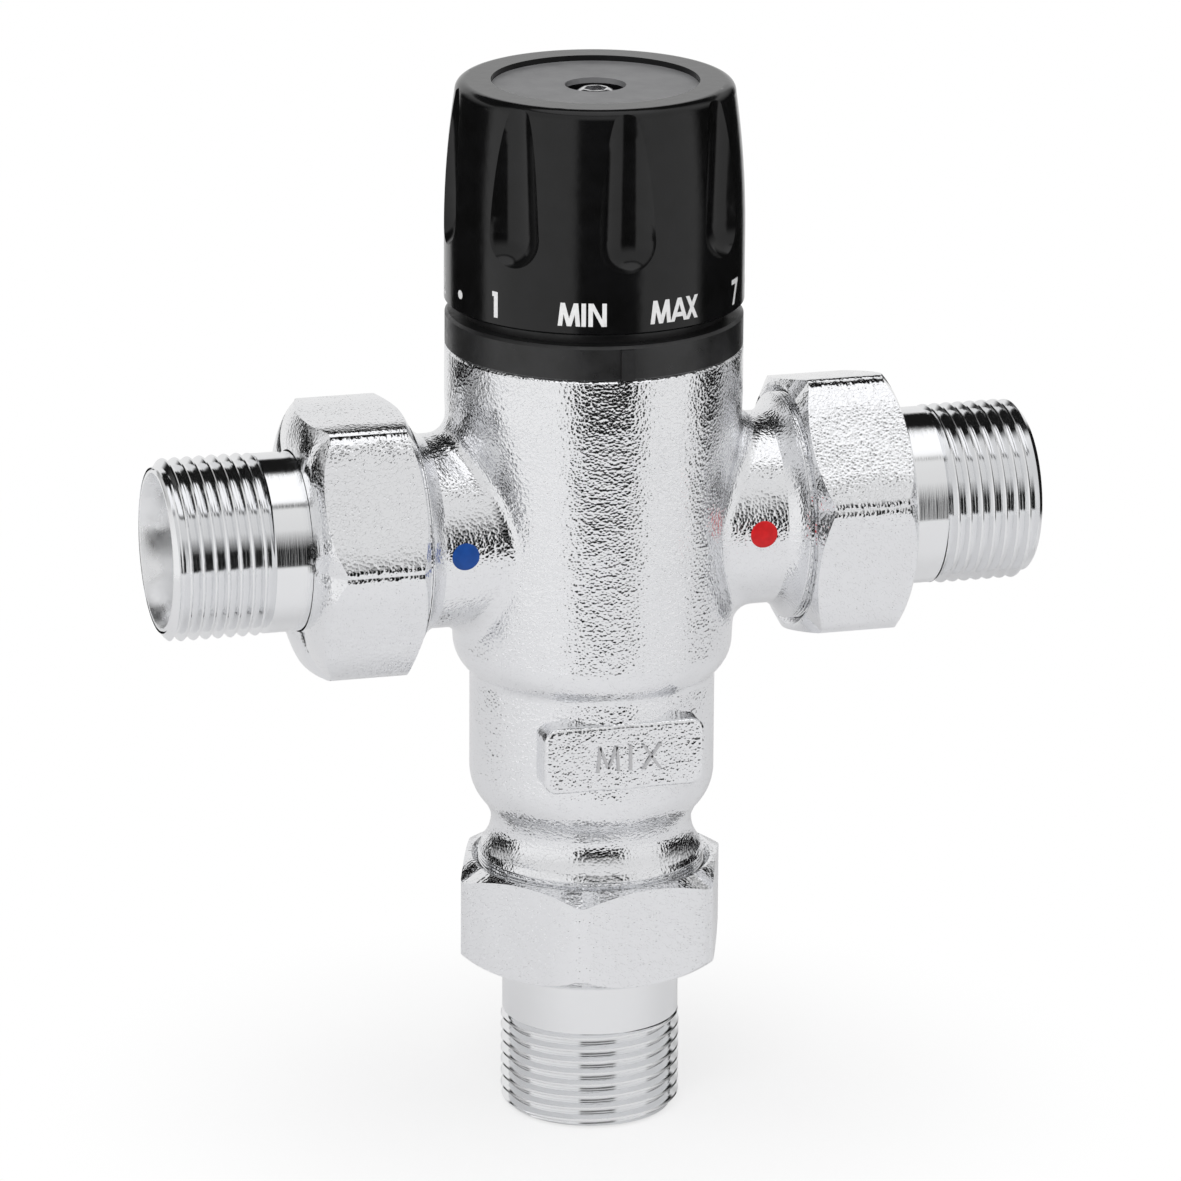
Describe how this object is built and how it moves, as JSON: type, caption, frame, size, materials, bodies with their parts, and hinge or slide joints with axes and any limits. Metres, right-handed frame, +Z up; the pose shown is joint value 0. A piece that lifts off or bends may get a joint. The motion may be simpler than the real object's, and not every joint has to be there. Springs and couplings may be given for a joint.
{
  "type": "thermostatic mixing valve",
  "caption": "Chrome three-way temperature control mixing valve with a fluted black knob, opposed cold and hot inlets and a mixed outlet below.",
  "frame": {"origin": "centre of the mixed outlet's end face, on the valve's vertical axis", "axes": "+Z up along the spindle to the knob, +X toward the hot inlet, front with the index mark and marking pad toward -Y"},
  "size_m": [0.13, 0.0438, 0.1556],
  "materials": {
    "chrome_cast": "chrome plate over a fine forged grain",
    "chrome_turned": "bright chrome plate over turned brass",
    "brass": "turned brass",
    "knob_black": "gloss black moulding",
    "ring_black": "satin black moulding",
    "disc_grey": "matt dark grey plate",
    "steel": "bright stainless steel",
    "seal_rubber": "black rubber",
    "gasket_fibre": "pressed fibre",
    "inner_plastic": "natural engineering plastic",
    "element_copper": "copper alloy"
  },
  "bodies": {
    "valve": {"valve_body": "chrome_cast", "headwork": "brass", "headwork_seal_ring": "seal_rubber", "index_ring": "ring_black", "spring_guide": "inner_plastic", "return_spring": "steel", "cold_union_nut": "chrome_cast", "hot_union_nut": "chrome_cast", "mix_union_nut": "chrome_cast", "cold_tailpiece": "chrome_turned", "hot_tailpiece": "chrome_turned", "mix_tailpiece": "chrome_turned", "cold_gasket": "gasket_fibre", "hot_gasket": "gasket_fibre", "mix_gasket": "gasket_fibre", "cold_check_cage": "inner_plastic", "hot_check_cage": "inner_plastic", "cold_check_seat": "inner_plastic", "hot_check_seat": "inner_plastic", "cold_check_spring": "steel", "hot_check_spring": "steel", "cold_strainer": "steel", "hot_strainer": "steel"},
    "knob_and_spindle": {"knob": "knob_black", "knob_disc": "disc_grey", "knob_screw": "steel", "spindle": "brass", "lower_spindle_seal_ring": "seal_rubber", "upper_spindle_seal_ring": "seal_rubber", "spindle_clip": "steel"},
    "carriage": {"overtravel_cup": "brass", "overtravel_clip": "steel", "overtravel_spring": "steel"},
    "overtravel": {"overtravel_button": "inner_plastic", "piston_pin": "steel"},
    "shutter_and_element": {"shutter": "inner_plastic", "shutter_seal_ring": "seal_rubber", "wax_element": "element_copper"},
    "cold_poppet": {"cold_check_poppet": "inner_plastic"},
    "hot_poppet": {"hot_check_poppet": "inner_plastic"}
  },
  "joints": [
    {"name": "knob_turn", "type": "hinge", "parent": "valve", "child": "knob_and_spindle", "pos_m": [0, 0, 0.09], "axis": [0, 0, 1], "range_deg": [0, 341]},
    {"name": "carriage_slide", "type": "slide", "parent": "valve", "child": "carriage", "axis": [0, 0, 1], "range_m": [0, 0.00331]},
    {"name": "overtravel_slide", "type": "slide", "parent": "carriage", "child": "overtravel", "axis": [0, 0, 1], "range_m": [0, 0.0025], "stiffness_N_per_m": 4000, "springref_m": -0.003, "deforming": ["overtravel_spring"]},
    {"name": "shutter_slide", "type": "slide", "parent": "valve", "child": "shutter_and_element", "axis": [0, 0, 1], "range_m": [-0.002, 0], "stiffness_N_per_m": 1500, "springref_m": 0.004, "deforming": ["return_spring"]},
    {"name": "cold_check_slide", "type": "slide", "parent": "valve", "child": "cold_poppet", "axis": [1, 0, 0], "range_m": [0, 0.003], "stiffness_N_per_m": 80, "springref_m": -0.003, "deforming": ["cold_check_spring"]},
    {"name": "hot_check_slide", "type": "slide", "parent": "valve", "child": "hot_poppet", "axis": [-1, 0, 0], "range_m": [0, 0.003], "stiffness_N_per_m": 80, "springref_m": -0.003, "deforming": ["hot_check_spring"]}
  ],
  "couplings": [
    {"joint": "knob_turn", "follows": "carriage_slide", "rad_per_m": 1795.2}
  ]
}
